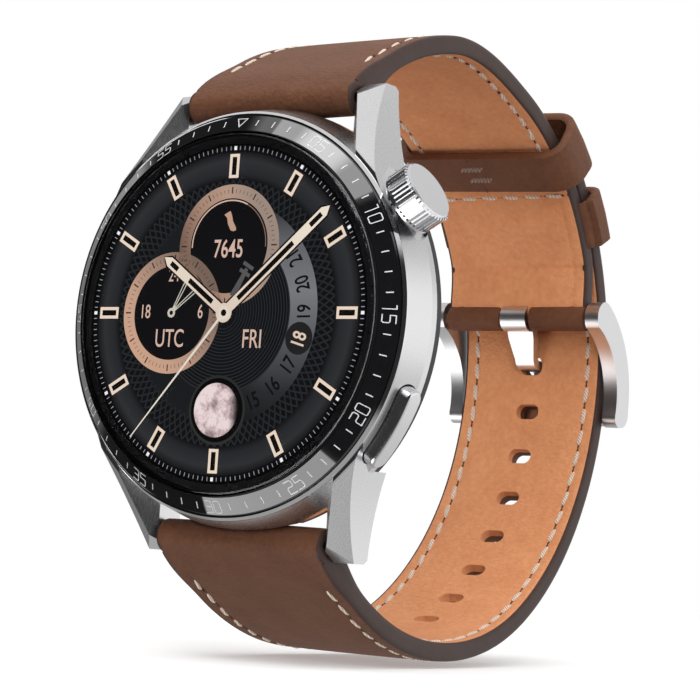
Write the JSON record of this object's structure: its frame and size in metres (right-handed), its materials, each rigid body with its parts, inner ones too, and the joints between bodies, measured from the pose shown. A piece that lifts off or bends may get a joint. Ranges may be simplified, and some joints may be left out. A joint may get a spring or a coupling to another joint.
{
  "type": "smartwatch",
  "caption": "Round steel smartwatch with a lit dial, turning crown, side button and a fastened two-layer leather strap with pin buckle.",
  "frame": {"origin": "centre of the flat sensor window face on the back of the case", "axes": "+X to 3 o'clock (crown side), +Y towards the wrist, +Z to 12 o'clock; the dial faces -Y"},
  "size_m": [0.0471, 0.0718, 0.0718],
  "materials": {
    "steel": "brushed with polished bevels",
    "polished_steel": "polished",
    "cover_glass": "clear, polished",
    "black_gloss": "mirror gloss black",
    "window_gloss": "mirror gloss black",
    "black_polymer": "fine satin",
    "display": "lit display",
    "chassis": "machined",
    "inner_plastic": "moulded",
    "battery_foil": "foil",
    "circuit_board": "solder mask",
    "copper": "enamelled copper",
    "seal": "soft",
    "outer_leather": "smooth, fine grain, painted edges",
    "lining_leather": "nubuck"
  },
  "bodies": {
    "watch": {"antenna_ring": "inner_plastic", "battery": "battery_foil", "bezel_ring": "black_gloss", "bottom_bar_spring": "polished_steel", "bottom_bar_tip": "polished_steel", "bottom_bar_tube": "polished_steel", "button_switch": "inner_plastic", "case_screws": "polished_steel", "charging_coil": "copper", "crown_sensor": "inner_plastic", "crown_switch": "inner_plastic", "crown_tube": "polished_steel", "crystal": "cover_glass", "crystal_gasket": "seal", "display_panel": "display", "fixed_keeper": "outer_leather", "haptic_case": "polished_steel", "haptic_springs": "polished_steel", "inner_chassis": "chassis", "long_strap_lining": "lining_leather", "long_strap_outer": "outer_leather", "mainboard": "circuit_board", "microphone": "inner_plastic", "mid_case": "steel", "optical_sensors": "inner_plastic", "pressure_sensor": "inner_plastic", "rear_cover": "black_polymer", "rear_gasket": "seal", "sensor_board": "circuit_board", "sensor_window": "window_gloss", "shield_cans": "polished_steel", "short_strap_lining": "lining_leather", "short_strap_outer": "outer_leather", "speaker": "inner_plastic", "switch_brackets": "polished_steel", "top_bar_spring": "polished_steel", "top_bar_tip": "polished_steel", "top_bar_tube": "polished_steel"},
    "crown_slider": {"crown_thrust_plate": "inner_plastic"},
    "crown": {"crown_cap": "steel", "crown_shaft": "polished_steel", "crown_oring": "seal", "crown_clip": "polished_steel", "encoder_wheel": "polished_steel"},
    "button": {"button_cap": "steel", "button_stem": "polished_steel", "button_oring": "seal", "button_clip": "polished_steel"},
    "keeper": {"loose_keeper": "outer_leather"},
    "buckle": {"buckle_frame": "steel", "buckle_bar": "polished_steel"},
    "tongue": {"buckle_tongue": "polished_steel"},
    "top_pin": {"top_release_pin": "polished_steel"},
    "bottom_pin": {"bottom_release_pin": "polished_steel"},
    "haptic": {"haptic_mass": "polished_steel"}
  },
  "joints": [
    {"name": "crown_press", "type": "slide", "parent": "watch", "child": "crown_slider", "axis": [-0.866, 0, -0.5], "range_m": [0, 0.00033], "stiffness_N_per_m": 9000, "springref_m": -0.0002},
    {"name": "crown_turn", "type": "hinge", "parent": "crown_slider", "child": "crown", "pos_m": [0.0213, -0.0083, 0.0123], "axis": [0.866, 0, 0.5], "continuous": true},
    {"name": "button_press", "type": "slide", "parent": "watch", "child": "button", "axis": [-0.866, 0, 0.5], "range_m": [0, 0.00033], "stiffness_N_per_m": 9000, "springref_m": -0.0002},
    {"name": "keeper_slide", "type": "hinge", "parent": "watch", "child": "keeper", "pos_m": [0, 0.0207, 0], "axis": [1, 0, 0], "range_deg": [-5.5, 12]},
    {"name": "buckle_pivot", "type": "hinge", "parent": "watch", "child": "buckle", "pos_m": [0, 0.051, 0.007], "axis": [1, 0, 0], "range_deg": [0, 0.8]},
    {"name": "tongue_pivot", "type": "hinge", "parent": "buckle", "child": "tongue", "pos_m": [0, 0.051, 0.007], "axis": [1, 0, 0], "range_deg": [0, 1]},
    {"name": "top_pin_release", "type": "slide", "parent": "watch", "child": "top_pin", "axis": [-1, 0, 0], "range_m": [0, 0.0015], "stiffness_N_per_m": 700, "springref_m": -0.001},
    {"name": "bottom_pin_release", "type": "slide", "parent": "watch", "child": "bottom_pin", "axis": [-1, 0, 0], "range_m": [0, 0.0015], "stiffness_N_per_m": 700, "springref_m": -0.001},
    {"name": "haptic_travel", "type": "slide", "parent": "watch", "child": "haptic", "axis": [1, 0, 0], "range_m": [-0.0003, 0.0003], "stiffness_N_per_m": 1500}
  ]
}
